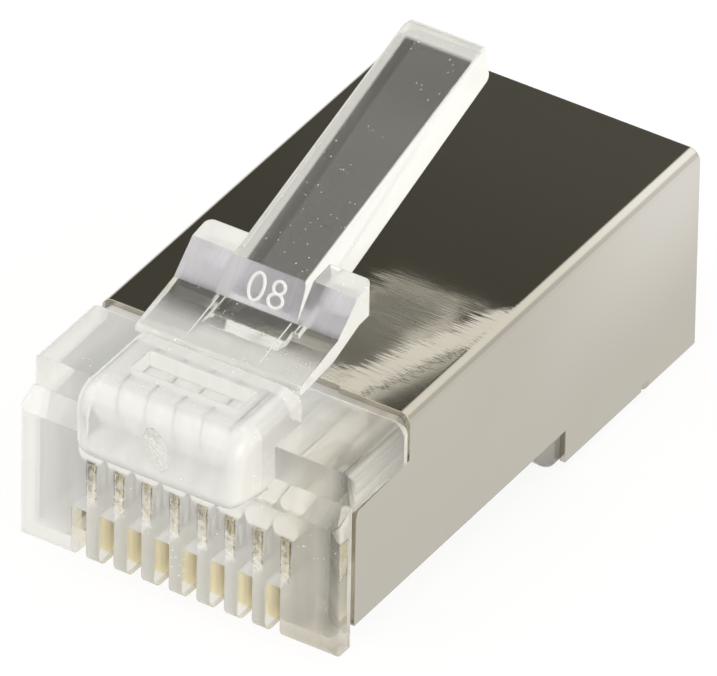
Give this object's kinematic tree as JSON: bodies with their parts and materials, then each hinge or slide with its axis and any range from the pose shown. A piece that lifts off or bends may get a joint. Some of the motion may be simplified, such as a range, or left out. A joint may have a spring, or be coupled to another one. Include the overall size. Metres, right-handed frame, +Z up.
{
  "type": "shielded rj45 modular plug",
  "caption": "Clear modular plug with a sprung latch on top, gold contact blades in a slotted nose and a folded metal shield, open at the rear for the cable.",
  "frame": {"origin": "middle of the plug's bounding box in X and Y, at the level of the shield's bottom flaps", "axes": "+Y from the nose to the cable entry, +Z up through the latch, +X across the plug"},
  "size_m": [0.0116, 0.0228, 0.0136],
  "materials": {
    "clear_plastic": "clear moulded polycarbonate, polished",
    "nickel_sheet": "bright nickel plate on rolled sheet",
    "gold_contact": "gold plate"
  },
  "bodies": {
    "plug": {"housing": "clear_plastic", "shield": "nickel_sheet", "contact_1": "gold_contact", "contact_2": "gold_contact", "contact_3": "gold_contact", "contact_4": "gold_contact", "contact_5": "gold_contact", "contact_6": "gold_contact", "contact_7": "gold_contact", "contact_8": "gold_contact"},
    "latch": {"latch_lever": "clear_plastic"}
  },
  "joints": [
    {"name": "latch_press", "type": "hinge", "parent": "plug", "child": "latch", "pos_m": [0, -0.00757, 0.0089], "axis": [-1, 0, 0], "range_deg": [0, 19], "stiffness_Nm_per_rad": 0.05}
  ]
}
